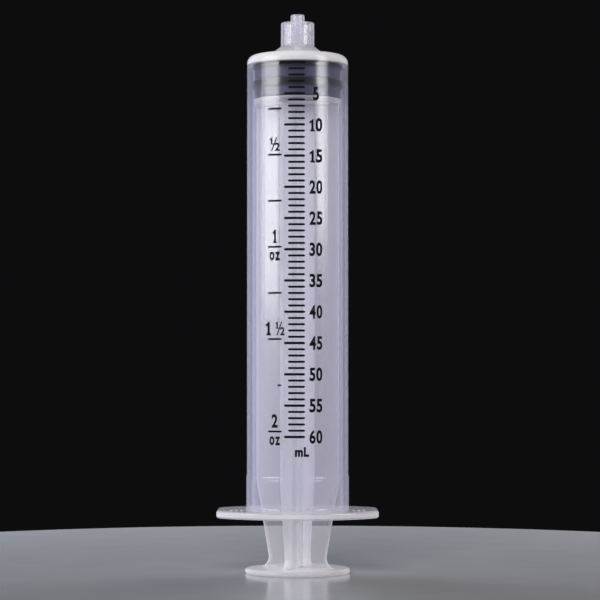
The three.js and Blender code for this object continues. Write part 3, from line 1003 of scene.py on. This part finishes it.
def rubber():
    """Dark elastomer, glossier where a rib presses on the barrel, with painted shade making it near-black
    there.
    """
    graph = Graph("stopper_rubber")
    grain = graph.noise(1800.0, 3.0, 0.6)
    bloom = graph.noise(220.0, 4.0, 0.55)
    contact_shade = graph.attribute("contact_shade")
    body = graph.mix_colours(bloom, (0.026, 0.030, 0.062), (0.062, 0.068, 0.120))
    inputs = {
        # painted shade: near-black base colour where a rib presses on the barrel, standing in for the shade
        # at the contact
        "Base Color": graph.mix_colours(contact_shade, body, (0.006, 0.007, 0.011)),
        "Roughness": graph.remap(contact_shade, 0.5, 0.28),
        "IOR": 1.5,
        "Normal": graph.bump(grain, 0.25, 0.00005),
    }
    return graph.finish(graph.add("ShaderNodeBsdfPrincipled", inputs))


def ink():
    """Near-black screen-printing ink with a slightly uneven film."""
    graph = Graph("scale_ink")
    film = graph.noise(900.0, 3.0, 0.6)
    inputs = {
        "Base Color": graph.mix_colours(film, (0.001, 0.001, 0.002), (0.008, 0.008, 0.012)),
        "Roughness": graph.remap(film, 0.55, 0.8),
        "IOR": 1.5,
        "Specular IOR Level": 0.1,
        "Normal": graph.bump(film, 0.3, 0.00001),
    }
    return graph.finish(graph.add("ShaderNodeBsdfPrincipled", inputs))


def floor_material():
    """A plain pale table top with a soft sheen."""
    graph = Graph("pale_floor")
    rough = graph.remap(graph.noise(60.0, 4.0), 0.16, 0.22)
    inputs = {"Base Color": (0.55, 0.55, 0.56, 1), "Roughness": rough}
    return graph.finish(graph.add("ShaderNodeBsdfPrincipled", inputs))


# ---- Stage: floor, lights and camera ----

CAMERA_DISTANCE = 0.7032  # metres, from the syringe's axis
CAMERA_HEIGHT = 0.063
CAMERA_SIDE = 0.0007  # to the right of the axis
CAMERA_PITCH = 1.389  # degrees upward
LENS = 143.66  # for the default 36 mm sensor
FLOOR_RADIUS = 200.0  # millimetres, as are the next two
FLOOR_THICKNESS = 4.0
FLOOR_GAP = 0.02  # under the thumb rest
BACKDROP = (0.004, 0.004, 0.0045, 1)  # dark, as in the photograph


def make_floor():
    low, top = -FLOOR_THICKNESS, -FLOOR_GAP
    outline = [(0, low, 0), (FLOOR_RADIUS, low, 1), (FLOOR_RADIUS, top, 1), (0, top, 0)]
    floor = skin("floor", rounded(outline))
    smooth(floor)
    floor.data.materials.append(floor_material())


def soft_light(name, azimuth, distance, low, high, width, power, colour=(1, 1, 1), shines_on=None):
    """A tall softbox at an azimuth from the camera's side, facing the syringe; metres and watts.

    With shines_on, a collection, it lights only that and shows as a highlight there; without, it
    lights everything and shows in nothing.
    """
    a = math.radians(azimuth)
    place = Vector((distance * math.sin(a), -distance * math.cos(a), (low + high) / 2))
    data = bpy.data.lights.new(name, "AREA")
    data.shape = "RECTANGLE"
    data.size = width
    data.size_y = high - low
    data.energy = power
    data.color = colour
    light = linked(name, data)
    light.location = place
    aim = Vector((0, 0, place.z)) - place
    light.rotation_euler = aim.to_track_quat("-Z", "Y").to_euler()
    light.visible_camera = False
    light.visible_glossy = shines_on is not None
    light.light_linking.receiver_collection = shines_on


def make_lights(pieces):
    syringe = bpy.data.collections.new("softboxes_shine_on")
    for piece in pieces:
        syringe.objects.link(piece)
    soft_light("left_softbox", -68, 0.6, 0.09, 0.70, 0.48, 4.8, shines_on=syringe)
    soft_light("right_softbox", 59, 0.6, 0.13, 0.75, 0.26, 3.1, shines_on=syringe)
    soft_light("front_fill", -10, 0.8, 0.40, 0.80, 0.5, 6)
    soft_light("back_left", -140, 0.5, 0.0, 0.36, 0.35, 3.5, (0.76, 0.84, 1.0))
    soft_light("back_right", 140, 0.5, 0.0, 0.36, 0.35, 2.5, (1.0, 0.96, 0.98))
    world = bpy.data.worlds.new("studio")
    world.use_nodes = True
    world.node_tree.nodes["Background"].inputs["Color"].default_value = BACKDROP
    bpy.context.scene.world = world


def make_camera():
    data = bpy.data.cameras.new("camera")
    data.lens = LENS
    camera = linked("camera", data)
    camera.location = (CAMERA_SIDE, -CAMERA_DISTANCE, CAMERA_HEIGHT)
    camera.rotation_euler = (math.radians(90 + CAMERA_PITCH), 0, 0)
    bpy.context.scene.camera = camera


# ---- Assembly ----


def dress(thing, material, body, stands_for=None):
    """Gives a piece its material and the body it rides on, and for a moulding hides the imported node it
    stands for.
    """
    thing.data.materials.clear()
    thing.data.materials.append(material)
    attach(thing, body)
    if stands_for:
        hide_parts(stands_for)


make_camera()
clear_plastic = plastic(
    "barrel_plastic",
    deep=(0.67, 0.67, 0.81),
    pale=(0.78, 0.77, 0.91),
    thick=(0.71, 0.69, 0.72),
    roughness=0.15,
    bump=0.008,
    glow=0.80,
    rim=0.50,
)
milky_plastic = plastic(
    "rod_plastic",
    deep=(0.82, 0.79, 0.80),
    pale=(0.88, 0.85, 0.86),
    thick=(0.76, 0.74, 0.74),
    roughness=0.40,
    bump=0.012,
    glow=0.65,
    rim=0.90,
)
barrel = make_barrel()
stopper = make_stopper()
rod = make_rod()
dress(barrel, clear_plastic, "barrel", "barrel")
dress(stopper, rubber(), "stopper", "rubber_stopper")
dress(rod, milky_plastic, "plunger", "plunger_rod")

scale_ink = ink()
print_on_barrel = [
    bars("millilitre_marks", millilitre_marks()),
    bars("ounce_marks", ounce_marks()),
    labels("millilitre_numbers", millilitre_labels()),
    labels("ounce_numbers", ounce_labels()),
]
for printed in print_on_barrel:
    dress(printed, scale_ink, "barrel")

make_floor()
make_lights([barrel, stopper, rod, *print_on_barrel])
bpy.context.scene.view_settings.view_transform = "Standard"
